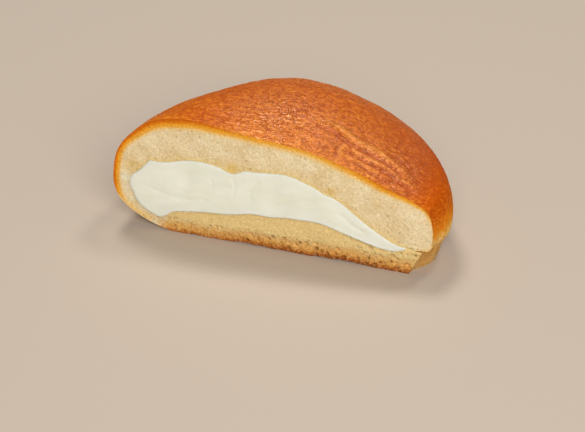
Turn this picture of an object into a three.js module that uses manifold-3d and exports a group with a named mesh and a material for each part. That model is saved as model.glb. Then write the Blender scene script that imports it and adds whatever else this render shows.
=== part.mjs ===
// Half of a round cream bun, in millimetres, +Z up, resting on its base.
// The bun was slit level from the right to a hinge of crust on the left, filled with whipped cream, and then
// cut upright across slit and hinge. The cut face looks along -Y. It has two pieces: the bread, and the cream.
import * as THREE from "three";
import { mergeVertices } from "three/addons/utils/BufferGeometryUtils.js";
import Module from "manifold-3d";

// The bun. x runs along the cut from the hinge (-) to the mouth (+), y goes back from the cut, and angles go
// round from the mouth over the back to the hinge.
const CUT_HALF_WIDTH = 54; // from the middle of the cut to either end of it
const BACK_RADIUS = 64; // how far the bun reaches behind the cut
const PLAN_RADII = [59, 60.5, BACK_RADIUS, 58, CUT_HALF_WIDTH]; // of the waist, evenly spaced round it
const PINCH = 5; // how far the knife pressed the mouth end in
const PINCH_REACH = 9; // how far behind the cut this is felt
const CROWN_SHARES = [0, 0.25, 0.5, 0.72, 0.87, 0.965, 1, 0.98]; // of the radius, crown to below the waist
const MOUTH_HEIGHTS = [40.3, 38.7, 34.8, 30.2, 27, 23.4, 15.5, 10.5]; // there, along the cut
const HINGE_HEIGHTS = [40.3, 41.7, 43.3, 41, 34.8, 27.5, 17.5, 12.5];
const BACK_RISE = 7.8; // the dome behind the cut is this much fuller
const HINGE_DROP = 24; // and falls away towards the back of the hinge
const SWELL = 0.5; // height of the crust's gentle waves
const SWELL_LENGTHS = [10, 12]; // their length for each radian, in x and in y
const HINGE_TUCK = 19; // how far the base's edge lies inside the waist
const MOUTH_TUCK = 3.3;
const BACK_TUCK = 4;
const CUT_TUCK = 3.9; // more of it where the knife pressed the mouth end
const CUT_TUCK_REACH = 7;
const LIFT = { height: 1.8, middle: 13, halfWidth: 27, depth: 14 }; // the base's front edge curls up a little

// The filling: its outline on the cut face as (x, z), from the tip at the mouth over the top and back under.
const CREAM_TIP = [45.3, 9.2];
const CREAM_TOP = [
  [38, 12], [30, 17.4], [22, 23], [12, 27.4], [2, 28.8], [-6, 28.4],
  [-12.5, 26.1], [-17, 27.9], [-23, 29], [-33, 27.8], [-41, 26.2], [-44.6, 22.6],
];
const CREAM_HINGE = [-51.4, 20.4];
const CREAM_UNDERSIDE = [
  [-50.4, 16.6], [-47.6, 11.6], [-42.8, 7.5], [-38, 5.4], [-33, 6.6], [-26, 8.6], [-13, 10.5],
  [0, 11.8], [12, 12.7], [20, 12], [28, 9.4], [35, 7.3], [41, 7],
];
const CREAM_DEPTH = 46;
const CREAM_MIDDLE = -3; // it narrows to this x as it goes back
const CREAM_FULLNESS = 0.7; // under 1, its height lasts further back than its width
const CREAM_GAP = 0.35; // between cream and bread

// The slit.
const SEAM_BOW = 3; // how far it bows up between the tip and the hinge
const SLIT_END = -30; // the knife stopped here
const SLIT_REACH = 72; // past the walls
const SLIT_THICKNESS = [0.25, 0.7]; // at its end and past the walls

// Fineness.
const STEPS_AROUND = 48;
const CROWN_ROWS = 20;
const WALL_ROWS = 8;
const BASE_SHARES = [0.93, 0.84, 0.7, 0.5, 0.25]; // rows between the base's edge and its middle
const OUTLINE_STEPS = 64;
const CREAM_ROWS = 10;
const SLIT_STEPS = 9;

const CUT_CENTRE_HEIGHT = 20; // a point inside the cut face that sees all of its edge
const CUT_THROUGH = 2; // how far a hollow is carried out through the cut face
const SAME_POINT = 1e-4;

const mix = THREE.MathUtils.lerp;
const hingeShare = (angle) => (1 - Math.cos(angle)) / 2; // 0 at the mouth, 1 at the hinge

// The slit's height: it bows up where the filling is, and comes out level through the wall.
function seamHeight(x, y) {
  const along = Math.max(0, (CREAM_TIP[0] - x) / (CREAM_TIP[0] - CREAM_HINGE[0]));
  const rise = (CREAM_HINGE[1] - CREAM_TIP[1]) * along + SEAM_BOW * 4 * along * (1 - along);
  return CREAM_TIP[1] + rise * (1 - (y / BACK_RADIUS) ** 2);
}

// The plan's curve goes on past the cut at both ends as its mirror image, so that it leaves the cut squarely.
const planCurve = new THREE.SplineCurve(
  [PLAN_RADII[1], ...PLAN_RADII, PLAN_RADII.at(-2)].map((radius, i) => new THREE.Vector2(i, radius)),
);

function planRadius(angle) {
  const turn = angle / Math.PI;
  const spans = PLAN_RADII.length - 1;
  const radius = planCurve.getPoint((1 + turn * spans) / (spans + 2)).y;
  const behindCut = radius * Math.sin(angle);
  return turn > 0.5 ? radius : radius - PINCH * Math.exp(-((behindCut / PINCH_REACH) ** 2));
}

const crownCurve = (heights) =>
  new THREE.SplineCurve(heights.map((height, i) => new THREE.Vector2(CROWN_SHARES[i], height)));
const mouthCurve = crownCurve(MOUTH_HEIGHTS);
const hingeCurve = crownCurve(HINGE_HEIGHTS);
const WAIST = (CROWN_SHARES.length - 2) / (CROWN_SHARES.length - 1); // where on those curves the waist is

function crownPoint(angle, down) {
  const hinge = hingeShare(angle);
  const along = down * WAIST;
  const { x: out, y: height } = mouthCurve.getPoint(along).lerp(hingeCurve.getPoint(along), hinge);
  // Round the crown every direction has the same radius, so that it is smooth, and at the waist its own.
  const radius = out * mix(planRadius(angle), CUT_HALF_WIDTH, (1 - out) ** 3);
  const x = radius * Math.cos(angle);
  const y = radius * Math.sin(angle);
  const rise = BACK_RISE * Math.sin(angle) * 4 * out * (1 - out);
  const drop = HINGE_DROP * Math.sin(angle) * (hinge * out) ** 2 * (1 - out ** 8);
  const swell = SWELL * Math.sin(x / SWELL_LENGTHS[0]) * Math.sin(y / SWELL_LENGTHS[1]) * (1 - down ** 4);
  return [x, y, height + rise - drop + swell];
}

function wallPoint(angle, down) {
  const [x, y, waistHeight] = crownPoint(angle, 1);
  const radius = Math.hypot(x, y);
  const hinge = hingeShare(angle);
  const pressed = angle < Math.PI / 2 ? CUT_TUCK * Math.exp(-((y / CUT_TUCK_REACH) ** 2)) : 0;
  const tuck = HINGE_TUCK * hinge ** 2 + MOUTH_TUCK * (1 - hinge) + BACK_TUCK * Math.sin(angle) + pressed;
  const fullness = mix(1 - down, Math.sqrt(1 - down ** 2), hinge); // straight at the mouth, round opposite
  const share = 1 - (tuck / radius) * (1 - fullness);
  return [x * share, y * share, waistHeight * (1 - down)];
}

function basePoint(angle, out) {
  const [x, y] = wallPoint(angle, 1).map((value) => value * out);
  const along = Math.max(0, 1 - ((x - LIFT.middle) / LIFT.halfWidth) ** 2);
  const back = Math.max(0, 1 - (y / LIFT.depth) ** 2);
  return [x, y, LIFT.height * (along * back) ** 2];
}

// One line of points from the crown over the dome, the wall and the base's edge to the middle of the base.
function meridian(angle) {
  const points = [];
  for (let i = 0; i <= CROWN_ROWS; i++) points.push(crownPoint(angle, i / CROWN_ROWS));
  for (let i = 1; i < WALL_ROWS; i++) points.push(wallPoint(angle, i / WALL_ROWS));
  for (const out of [1, ...BASE_SHARES, 0]) points.push(basePoint(angle, out));
  return points;
}

function geometryOf(points, faces) {
  const geometry = new THREE.BufferGeometry();
  geometry.setAttribute("position", new THREE.Float32BufferAttribute(points.flat(), 3));
  geometry.setIndex(faces.flat());
  return geometry;
}

// The skin is woven between neighbouring lines, which share both their ends. The cut face is a fan.
function halfBunGeometry() {
  const lines = [];
  for (let i = 0; i <= STEPS_AROUND; i++) lines.push(meridian((Math.PI * i) / STEPS_AROUND));
  for (const line of [lines[0], lines.at(-1)]) {
    for (const point of line) point[1] = 0;
  }
  const rows = lines[0].length;
  const points = lines.flat();
  const faces = [];
  for (let line = 0; line < STEPS_AROUND; line++) {
    for (let row = 0; row + 1 < rows; row++) {
      const [above, below] = [line * rows + row, line * rows + row + 1];
      if (row > 0) faces.push([above, below, above + rows]);
      if (row + 2 < rows) faces.push([below, below + rows, above + rows]);
    }
  }
  const edge = [];
  for (let row = 0; row < rows; row++) edge.push(row);
  for (let row = rows - 2; row > 0; row--) edge.push(STEPS_AROUND * rows + row);
  const centre = points.push([0, 0, CUT_CENTRE_HEIGHT]) - 1;
  edge.forEach((at, i) => faces.push([edge[(i + 1) % edge.length], at, centre]));
  return geometryOf(points, faces);
}

// The filling's outline on the cut face, ending on its tip.
function creamOutline() {
  const corners = [CREAM_TIP, ...CREAM_TOP, CREAM_HINGE, ...CREAM_UNDERSIDE];
  const curve = new THREE.CatmullRomCurve3(
    corners.map(([x, z]) => new THREE.Vector3(x, 0, z)),
    true,
    "centripetal",
  );
  return curve.getSpacedPoints(OUTLINE_STEPS).slice(1);
}

// The filling's outline, drawn in towards a line along the seam, row by row as it goes back to a blunt point.
function creamSkin() {
  const outline = creamOutline();
  const points = [];
  for (let row = 0; row < CREAM_ROWS; row++) {
    const turn = (Math.PI / 2) * (row / CREAM_ROWS);
    const y = CREAM_DEPTH * Math.sin(turn);
    for (const edge of outline) {
      const x = mix(CREAM_MIDDLE, edge.x, Math.cos(turn));
      const height = (edge.z - seamHeight(edge.x, 0)) * Math.cos(turn) ** CREAM_FULLNESS;
      points.push([x, y, seamHeight(x, y) + height]);
    }
  }
  const point = points.push([CREAM_MIDDLE, CREAM_DEPTH, seamHeight(CREAM_MIDDLE, CREAM_DEPTH)]) - 1;
  const faces = [];
  for (let row = 0; row < CREAM_ROWS; row++) {
    for (let i = 0; i < OUTLINE_STEPS; i++) {
      const at = row * OUTLINE_STEPS + i;
      const next = row * OUTLINE_STEPS + ((i + 1) % OUTLINE_STEPS);
      if (row + 1 === CREAM_ROWS) faces.push([at, point, next]);
      else faces.push([at, at + OUTLINE_STEPS, next], [next, at + OUTLINE_STEPS, next + OUTLINE_STEPS]);
    }
  }
  return { points, faces };
}

// Strips from the outline's upper edge to its lower edge, from tip to hinge.
function creamCutFaces() {
  const faces = [];
  for (let i = 0; i < OUTLINE_STEPS / 2; i++) {
    const [top, nextTop] = [(i || OUTLINE_STEPS) - 1, i];
    const [nextUnder, under] = [OUTLINE_STEPS - i - 2, OUTLINE_STEPS - i - 1];
    if (nextTop !== nextUnder) faces.push([top, nextTop, nextUnder]);
    if (top !== under) faces.push([top, nextUnder, under]);
  }
  return faces;
}

function creamGeometry() {
  const { points, faces } = creamSkin();
  return geometryOf(points, [...faces, ...creamCutFaces()]);
}

// The room for the filling: the filling grown by its gap, and carried out through the cut face.
function creamRoomGeometry() {
  const { points, faces } = creamSkin();
  const skin = geometryOf(points, faces);
  skin.computeVertexNormals();
  const room = points.map((point, i) => {
    const outwards = new THREE.Vector3().fromBufferAttribute(skin.attributes.normal, i);
    const [x, y, z] = outwards.multiplyScalar(CREAM_GAP).add(new THREE.Vector3(...point));
    return [x, i < OUTLINE_STEPS ? -CUT_THROUGH : y, z];
  });
  return geometryOf(room, [...faces, ...creamCutFaces()]);
}

// A thin sheet along the seam, out through the cut face and the walls.
function slitGeometry() {
  const sheet = new THREE.BoxGeometry(1, 1, 1, SLIT_STEPS, SLIT_STEPS, 1).translate(0.5, 0.5, 0);
  const corners = sheet.attributes.position;
  for (let i = 0; i < corners.count; i++) {
    const x = mix(SLIT_END, SLIT_REACH, corners.getX(i));
    const y = mix(-CUT_THROUGH, SLIT_REACH, corners.getY(i));
    const thickness = mix(...SLIT_THICKNESS, corners.getX(i));
    corners.setXYZ(i, x, y, seamHeight(x, y) + thickness * corners.getZ(i));
  }
  return sheet;
}

const wasm = await Module();
wasm.setup();

function solidOf(geometry) {
  geometry.deleteAttribute("normal");
  geometry.deleteAttribute("uv");
  const merged = mergeVertices(geometry, SAME_POINT);
  const vertProperties = merged.attributes.position.array;
  const triVerts = new Uint32Array(merged.index.array);
  return new wasm.Manifold(new wasm.Mesh({ numProp: 3, vertProperties, triVerts }));
}

function meshOf(name, solid, look) {
  const { vertProperties, triVerts } = solid.getMesh();
  const geometry = new THREE.BufferGeometry();
  geometry.setAttribute("position", new THREE.BufferAttribute(vertProperties, 3));
  geometry.setIndex(new THREE.BufferAttribute(triVerts, 1));
  geometry.computeVertexNormals();
  const mesh = new THREE.Mesh(geometry, new THREE.MeshStandardMaterial({ ...look, metalness: 0 }));
  mesh.name = name;
  return mesh;
}

const hollow = solidOf(creamRoomGeometry()).add(solidOf(slitGeometry()));
const bread = solidOf(halfBunGeometry()).subtract(hollow);
const cream = solidOf(creamGeometry());
const halfBun = new THREE.Group();
halfBun.add(meshOf("bread", bread, { color: 0xc06a2c, roughness: 0.5 }));
halfBun.add(meshOf("cream", cream, { color: 0xf0eadb, roughness: 0.4 }));

// The origin goes under the middle of the half bun, at the height that it rests on.
const bounds = new THREE.Box3().setFromObject(halfBun);
const middle = bounds.getCenter(new THREE.Vector3());
halfBun.position.set(-middle.x, -middle.y, -bounds.min.z);

export default halfBun;
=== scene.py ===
# Half of a round cream bun, rebuilt round its CAD frame: glossy browned crust, pale porous crumb with the
# knife's slit in it, and a filling of whipped cream, all cut upright. The shapes are worked out in
# millimetres in the cut's own axes (x along the cut from hinge to mouth, y back from it, z up) and then
# moved into the frame's.
import math

import bpy
import numpy as np
from mathutils import Euler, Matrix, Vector
from mathutils.geometry import delaunay_2d_cdt
from mathutils.kdtree import KDTree


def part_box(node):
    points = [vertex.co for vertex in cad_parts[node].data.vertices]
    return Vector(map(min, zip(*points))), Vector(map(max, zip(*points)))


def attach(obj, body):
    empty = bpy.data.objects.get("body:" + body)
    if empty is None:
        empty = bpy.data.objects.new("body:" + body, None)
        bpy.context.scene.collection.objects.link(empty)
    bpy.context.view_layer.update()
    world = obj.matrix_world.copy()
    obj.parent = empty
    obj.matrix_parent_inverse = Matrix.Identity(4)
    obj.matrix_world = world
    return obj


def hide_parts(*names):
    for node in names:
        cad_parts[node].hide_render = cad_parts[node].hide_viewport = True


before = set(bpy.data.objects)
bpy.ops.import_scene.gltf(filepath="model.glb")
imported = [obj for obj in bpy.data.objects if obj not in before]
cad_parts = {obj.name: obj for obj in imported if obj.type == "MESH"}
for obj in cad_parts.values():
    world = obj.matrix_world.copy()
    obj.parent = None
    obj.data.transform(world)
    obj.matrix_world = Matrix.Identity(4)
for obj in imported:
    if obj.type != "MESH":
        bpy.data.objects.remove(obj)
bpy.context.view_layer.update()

bl_info = {
    "name": "Half cream bun",
    "version": (1, 0, 0),
    "blender": (4, 5, 0),
    "location": "3D View > Sidebar > Cream bun",
    "description": "Builds half of a cream bun, with its crust, crumb, cream and a plain studio",
    "category": "Add Mesh",
}

MM = 0.001

# The bun, as in its CAD source. Angles go round from the mouth over the back to the hinge.
CUT_HALF_WIDTH = 54.0
BACK_RADIUS = 64.0
PLAN_RADII = [59, 60.5, BACK_RADIUS, 58, CUT_HALF_WIDTH]
PINCH = 5.0
PINCH_REACH = 9.0
CROWN_SHARES = [0, 0.25, 0.5, 0.72, 0.87, 0.965, 1, 0.98]
MOUTH_HEIGHTS = [40.3, 38.7, 34.8, 30.2, 27, 23.4, 15.5, 10.5]
HINGE_HEIGHTS = [40.3, 41.7, 43.3, 41, 34.8, 27.5, 17.5, 12.5]
WAIST = len(CROWN_SHARES) - 2
BACK_RISE = 7.8
HINGE_DROP = 24.0
SWELL = 0.5
SWELL_LENGTHS = (10, 12)
HINGE_TUCK = 20.0
HINGE_CURVE = 2.6
MOUTH_TUCK = 3.3
BACK_TUCK = 4.0
CUT_TUCK = 3.9
CUT_TUCK_REACH = 7.0
LIFT_PLACES = [-30, -27, -24, -20, -17, -13, -10, -6, -3, 0, 4, 7, 11, 14, 17.5, 21, 24, 27.5, 31, 34, 36]
LIFT_HEIGHTS = [0, 0.1, 0, 0, 0, 0.3, 0.6, 0.55, 0.4, 0, 0.25, 0, 0, 0.1, 0.4, 0.7, 0.55, 0.8, 0.35, 0, 0]
LIFT_DEPTH = 14.0
CRAG_LENGTH = 3.4
CRAG_HEIGHT = 0.3
SEAM_MOUTH = (45.3, 9.2)
SEAM_HINGE = (-51.4, 20.4)
# The filling's outline on the cut, from its thin tip over its top to the hinge, and back along its underside.
CREAM_TIP = (45.3, 9.2)
CREAM_TOP = [
    (41.6, 10.3), (38, 12.2), (34.5, 14.3), (30, 17.4), (25.6, 20.8), (22, 23.1), (18.5, 24.2), (15.6, 25.6),
    (12, 27.2), (6, 28.8), (0, 28.6), (-4.3, 28.1), (-8.3, 27.9), (-11.5, 26.2), (-13.5, 26.3), (-17, 27.7),
    (-23, 28.6), (-28.7, 28.1), (-33.5, 26.7), (-37.5, 26), (-40.8, 25.9), (-42.5, 24.1),
    (-44.6, 21.6), (-46.6, 20),
]
CREAM_HINGE = (-47.9, 18.2)
CREAM_UNDERSIDE = [
    (-48.4, 15.8), (-47.4, 13), (-46.3, 10.2), (-44.3, 7.6), (-41.6, 5.9), (-38.1, 4.8), (-35.6, 5.9),
    (-33.4, 7.6), (-28, 8.7), (-22, 9.6), (-15, 10.2), (-10.6, 11), (-6.5, 12), (0, 12.1), (8, 12.9),
    (17, 13), (22, 11.7), (28, 9.9), (33.8, 8.4), (38, 7.6), (41.7, 7.5),
]
CREAM_DEPTH = 46.0
CREAM_MIDDLE = -3.0
CREAM_FULLNESS = 0.7
SEAM_BOW = 3.0

# How finely the pieces are made, in millimetres between points.
SKIN_STEP = 0.46
BASE_STEP = 2.6
CRUMB_STEP = 0.32
EDGE_STEP = 0.42
CREAM_STEP = 0.5
CAVITY_ROWS = 9
WALL_ROWS = 14
LOW_ROWS = 21
BASE_RINGS = (0.99, 0.98, *np.linspace(0.965, 0.03, 78))

# How uneven the edge of the filling's room is, how far the filling overlaps it and stops short of its end,
# and the skin's relief, in millimetres.
HOLE_WAVE = 0.16
CREAM_OVERLAP = 0.15
CREAM_END_GAP = 0.3
PLEAT_DEPTH = 0.42
DENT_DEPTH = 0.1
BREAD_HEART = (0, 20, 15)  # a place inside the bread, which the skin's faces look away from
BASE_BAKE = 0.86  # how dark the base is, where 1 is darkest

# The slit in the wall: how far it goes in at each height from its own middle, in millimetres.
SLIT_HEIGHTS = [1.1, 0.75, 0.5, 0.34, 0.22, 0.12, -0.12, -0.22, -0.36, -0.6]
SLIT_DEPTHS = [0.0, 0.0, 0.1, 0.4, 1.1, 2.4, 2.4, 1.2, 0.4, 0.0]
LIP_SHARE = 0.55  # how much of the wall from the slit to the waist is rounded under
SLIT_FADE = (100, 124)  # degrees round from the mouth, between which it closes
SLIT_FROM_WAIST = 2.6
SLIT_END = [(46.3, 9.2), (47.4, 9.2)]  # its line on the cut, on from the filling's tip

# The golden band at the cut's edge, by place along the cut: 0 starts as orange as the crust, 1 as crumb.
RIND_PLACES = [-54, -50, -44, -30, -12, 0, 12, 25, 38, 50]
RIND_STARTS = [0, 0, -0.12, -0.18, 0.22, 0.4, 0.45, 0.3, 0.05, 0.3]
RIND_REACHES = [2.8, 2.8, 4, 4.4, 3.2, 3, 3, 3.2, 3.2, 1.8]
# Low at both ends it is paler: the side, where it starts, how far in it goes, and the heights of the change.
LOW_RINDS = [(-1, 0.7, 2.4, (16, 7)), (1, 0.85, 0.8, (25, 18))]
RIND_SIDES = 30.0
LOW_RIM_HEIGHT = 12.0
LOW_RIM_RIND = 0.8
BASE_EDGE_HEIGHT = 2.2
NO_RIND = 2.0
# The layer under the cream: its end at the hinge, how far up it is toasted and craggy, and where paler.
HINGE_FADE = (-35, -41)
TOASTED_REACH = 7.0
CRAGGY_REACH = 2.6
PALER_BASE = (6, -22)
# The knife's marks in the cream, as (x, z) along each one, with its depth and width.
CREAM_MARKS = [
    ([(-12.2, 24.5), (-11.4, 21), (-12, 18.5)], 0.16, 0.6),
    ([(-19.5, 22.5), (-19, 21), (-19.6, 19.6)], 0.14, 0.5),
    ([(-3.5, 24), (-5.2, 22.4), (-6.4, 19.6), (-6, 17.6)], 0.15, 0.6),
    ([(24, 17.5), (28, 14.5), (31, 13.2)], 0.2, 0.8),
    ([(-40, 15), (-30, 13.6), (-22, 14.6)], 0.18, 0.9),
]
# Where cream has soaked into the crumb: x, z, size and strength.
SOAKED = [
    (-46.6, 23, 3, 0.9), (-12.4, 27.8, 3.2, 0.95), (-17, 29, 2, 0.5), (-31, 28.6, 2.4, 0.5),
    (20.2, 25.4, 2, 1), (28, 20, 2.2, 0.3), (35, 15, 3, 0.3), (41, 11.8, 2.6, 0.4),
]
# Where the knife smeared cream over the crumb at the hinge: x, z, size and strength.
SMEARED = [
    (-49.8, 18, 1.9, 1.1), (-49, 14, 1.3, 0.9), (-47.6, 10.2, 1.1, 0.8), (-45.2, 7, 0.9, 0.7),
    (-36.6, 4.6, 1.1, 0.7),
]

# Folds in the crust, as (x, y) along each one, with its height and width.
FOLDS = [
    ([(13, 10.8), (19, 10.7), (23.5, 9.6), (27.8, 9.0), (32.5, 9.6), (37.4, 8.8), (42.5, 7.6)], 0.95, 1.6),
    ([(22.4, 5.4), (26.4, 5.6), (30.8, 5.4), (35.8, 5.8), (40.7, 5.3), (45.6, 4.3)], 0.7, 1.2),
    ([(24, 2.6), (28.8, 3.1), (33.2, 2.6), (37.5, 2.9)], 0.45, 0.9),
    ([(21.9, 6.9), (21.2, 4.6), (21.3, 1.6)], 0.6, 0.85),
    ([(24.6, 8.2), (25.2, 6.2), (26.3, 5.0)], 0.5, 0.8),
    ([(30, 14.5), (34, 13.6), (38.5, 14.2), (42.5, 12.6)], 0.22, 0.9),
    ([(2, 7.4), (8, 6.6), (14, 7.4), (19, 6.4)], 0.2, 0.8),
    ([(-30, 9), (-24, 7.6), (-18, 8.2), (-12, 7.2)], 0.16, 0.8),
    ([(-8, 5), (-2, 4.2), (5, 4.9), (12, 4.2)], 0.18, 0.8),
    ([(6, 31), (14, 29), (22, 30.5), (29, 28.5)], 0.14, 0.9),
    ([(-22, 40), (-13, 42), (-4, 41), (5, 43)], 0.14, 0.9),
]
# Across each fold, in widths: where its back and its groove lie, and the groove's own width.
FOLD_BACK = 0.95
FOLD_GROOVE = -0.3
FOLD_GROOVE_WIDTH = 0.55

# The studio, in millimetres in the frame's own axes.
CAMERA_PLACE = (127.7, -418.0, 272.4)
CAMERA_TARGET = (-0.256, -10.78, 0.0)
CAMERA_ROLL = math.radians(0.33)
CAMERA_LENS = 92.3
CAMERA_SENSOR = 36.0
# The lights and the floor, in metres.
LIGHT_TARGET = (0, 0, 0.02)
FLOOR_REACH = 6.0

BREAD_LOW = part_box("bread")[0]
CUT_TO_FRAME = np.array([BREAD_LOW.x + CUT_HALF_WIDTH * MM, BREAD_LOW.y, BREAD_LOW.z])


def linear(code):
    """A colour's hex code as linear red, green, blue and alpha."""
    shares = [int(code[i : i + 2], 16) / 255 for i in (1, 3, 5)]
    return (*[s / 12.92 if s <= 0.04045 else ((s + 0.055) / 1.055) ** 2.4 for s in shares], 1.0)


def spline(values, at):
    """A smooth curve through evenly spaced values, read at a place that is counted in values."""
    values = np.asarray(values, float)
    last = len(values) - 1
    at = np.clip(at, 0, last)
    start = np.minimum(np.floor(at).astype(int), last - 1)
    t = at - start
    a, b, c, d = (values[np.clip(start + step, 0, last)] for step in (-1, 0, 1, 2))
    if values.ndim > 1:
        t = np.asarray(t)[..., None]
    return b + 0.5 * t * (c - a + t * (2 * a - 5 * b + 4 * c - d + t * (3 * (b - c) + d - a)))


def mix(a, b, share):
    return a + (b - a) * share


def smooth(low, high, value):
    """0 at low, 1 at high, and a soft step between them."""
    t = np.clip((value - low) / (high - low), 0, 1)
    return t * t * (3 - 2 * t)


def unit(vectors):
    return vectors / np.maximum(np.linalg.norm(vectors, axis=-1, keepdims=True), 1e-9)


def ripple(points, length, seed, octaves=3):
    """Soft uneven waves from -1 to 1, from turned sines of a few lengths: one value for each point."""
    draw = np.random.default_rng(seed)
    total = np.zeros(len(points))
    weight = 0.0
    for octave in range(octaves):
        share = 0.55**octave
        for _ in range(5):
            way = unit(draw.normal(size=3)) * 2 * math.pi / (length * draw.uniform(0.7, 1.4) / 1.9**octave)
            total += share * np.sin(points @ way + draw.uniform(0, 2 * math.pi))
        weight += share * 5**0.5
    return total / weight


# The bread's outside.


def seam_height(x, y):
    """The slit's height: it bows up where the filling is, and comes out level through the wall."""
    along = np.maximum(0, (SEAM_MOUTH[0] - x) / (SEAM_MOUTH[0] - SEAM_HINGE[0]))
    rise = (SEAM_HINGE[1] - SEAM_MOUTH[1]) * along + SEAM_BOW * 4 * along * (1 - along)
    return SEAM_MOUTH[1] + rise * (1 - (y / BACK_RADIUS) ** 2)


def plan_radius(angle):
    turn = angle / math.pi
    radius = spline([PLAN_RADII[1], *PLAN_RADII, PLAN_RADII[-2]], 1 + turn * (len(PLAN_RADII) - 1))
    pinch = PINCH * np.exp(-((radius * np.sin(angle) / PINCH_REACH) ** 2))
    return radius - np.where(turn > 0.5, 0, pinch)


def crown_points(angle, down):
    """Points on the dome, from its top (down = 0) to its waist (down = 1)."""
    hinge = (1 - np.cos(angle)) / 2
    at = down * WAIST + 0 * angle
    out = spline(CROWN_SHARES, at)
    height = mix(spline(MOUTH_HEIGHTS, at), spline(HINGE_HEIGHTS, at), hinge)
    radius = out * mix(plan_radius(angle), CUT_HALF_WIDTH, (1 - np.minimum(out, 1)) ** 3)
    x = radius * np.cos(angle)
    y = radius * np.sin(angle)
    rise = BACK_RISE * np.sin(angle) * 4 * out * (1 - out)
    drop = HINGE_DROP * np.sin(angle) * (hinge * out) ** 2 * (1 - out**8)
    swell = SWELL * np.sin(x / SWELL_LENGTHS[0]) * np.sin(y / SWELL_LENGTHS[1]) * (1 - down**4)
    return np.stack([x, y, height + rise - drop + swell], -1)


def slit_strength(angle):
    return 1 - smooth(*np.radians(SLIT_FADE), angle)


def wall_points(angle, height_at):
    """Points on the wall. height_at gives their heights from the waist's and the slit's."""
    waist = crown_points(angle, 1.0)
    radius = np.hypot(waist[:, 0], waist[:, 1])
    slit = np.minimum(seam_height(waist[:, 0], waist[:, 1]), waist[:, 2] - SLIT_FROM_WAIST)
    height = height_at(waist[:, 2], slit)
    hinge = (1 - np.cos(angle)) / 2
    pressed = np.where(angle < math.pi / 2, CUT_TUCK * np.exp(-((waist[:, 1] / CUT_TUCK_REACH) ** 2)), 0)
    tuck = HINGE_TUCK * hinge**2 + MOUTH_TUCK * (1 - hinge) + BACK_TUCK * np.sin(angle) + pressed

    def inset_at(place):
        down = 1 - place / waist[:, 2]
        return tuck * (1 - mix(1 - down, np.clip(1 - down**HINGE_CURVE, 0, 1) ** 0.85, hinge))

    # Over the slit the wall stays upright and then turns under in a rounded lip.
    above = np.clip((height - slit) / (waist[:, 2] - slit), 0, 1)
    lip = inset_at(slit) * (1 - np.sqrt(1 - (1 - np.minimum(above / LIP_SHARE, 1)) ** 2))
    groove = np.interp(height - slit, SLIT_HEIGHTS[::-1], SLIT_DEPTHS[::-1])
    cad = inset_at(height)
    inset = mix(cad, np.where(height > slit, lip, cad) + groove, slit_strength(angle))
    share = 1 - inset / radius
    return np.stack([waist[:, 0] * share, waist[:, 1] * share, height], -1)


def base_lift(x):
    """How far the cut's lower edge is off the ground: a shallow arch with a ragged edge."""
    inside_ends = smooth(-33, -29, x) * smooth(37, 33, x)
    crags = ripple(np.c_[x, np.zeros(len(x)), np.zeros(len(x))], CRAG_LENGTH, 17) * CRAG_HEIGHT
    return np.maximum(0, np.interp(x, LIFT_PLACES, LIFT_HEIGHTS) + crags * inside_ends)


def base_points(angle, out):
    edge = wall_points(angle, lambda waist, slit: 0 * waist)
    x = edge[:, 0] * out
    y = edge[:, 1] * out
    return np.stack([x, y, base_lift(x) * np.maximum(0, 1 - (y / LIFT_DEPTH) ** 2) ** 2], -1)


def skin_rows():
    """The skin as rows of points round it, from the dome's top to the base's middle, with each row's kind."""
    rows = []
    probe = np.linspace(0, 1, 400)
    line = np.array([crown_points(np.array([math.pi / 2]), down)[0] for down in probe])
    length = np.concatenate([[0], np.cumsum(np.linalg.norm(np.diff(line, axis=0), axis=1))])
    steps = math.ceil(length[-1] / SKIN_STEP)

    def add(make, kind, step=SKIN_STEP):
        across = make(np.array([math.pi / 2]))[0]
        count = max(4, math.ceil(math.pi * np.hypot(*across[:2]) / step))
        angles = np.linspace(0, math.pi, count + 1)
        points = make(angles)
        points[[0, -1], 1] = 0
        rows.append((points, angles, kind))

    top = crown_points(np.array([0.0]), 0.0)
    rows.append((top, np.array([0.0]), "crown"))
    for place in np.linspace(0, length[-1], steps + 1)[1:]:
        down = np.interp(place, length, probe)
        add(lambda angle: crown_points(angle, down), "crown")
    for share in np.linspace(0, 1, WALL_ROWS + 1)[1:]:
        add(lambda a: wall_points(a, lambda waist, slit: mix(waist, slit + SLIT_HEIGHTS[0], share)), "wall")
    for offset in SLIT_HEIGHTS[1:]:
        add(lambda a: wall_points(a, lambda waist, slit: slit + offset), "slit")
    for share in np.sin(np.linspace(0, math.pi / 2, LOW_ROWS + 1))[1:]:
        add(lambda a: wall_points(a, lambda waist, slit: (slit + SLIT_HEIGHTS[-1]) * (1 - share)), "low")
    for out in BASE_RINGS:
        add(lambda a: base_points(a, out), "base", BASE_STEP)
    rows.append((base_points(np.array([0.0]), 0.0), np.array([0.0]), "base"))
    return rows


def stitch(first, first_count, second, second_count):
    """Triangles between two rows of points with any counts, by walking along both."""
    faces = []
    i = j = 0
    while i < first_count or j < second_count:
        behind = (i + 1) * second_count <= (j + 1) * first_count
        if j == second_count or (i < first_count and behind):
            faces.append((first + i, second + j, first + i + 1))
            i += 1
        else:
            faces.append((first + i, second + j, second + j + 1))
            j += 1
    return faces


def corner_normals(points, faces):
    """A normal for each point, from the faces round it."""
    a, b, c = (points[faces[:, i]] for i in range(3))
    face = np.cross(b - a, c - a)
    normals = np.zeros_like(points)
    for i in range(3):
        np.add.at(normals, faces[:, i], face)
    return unit(normals)


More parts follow.
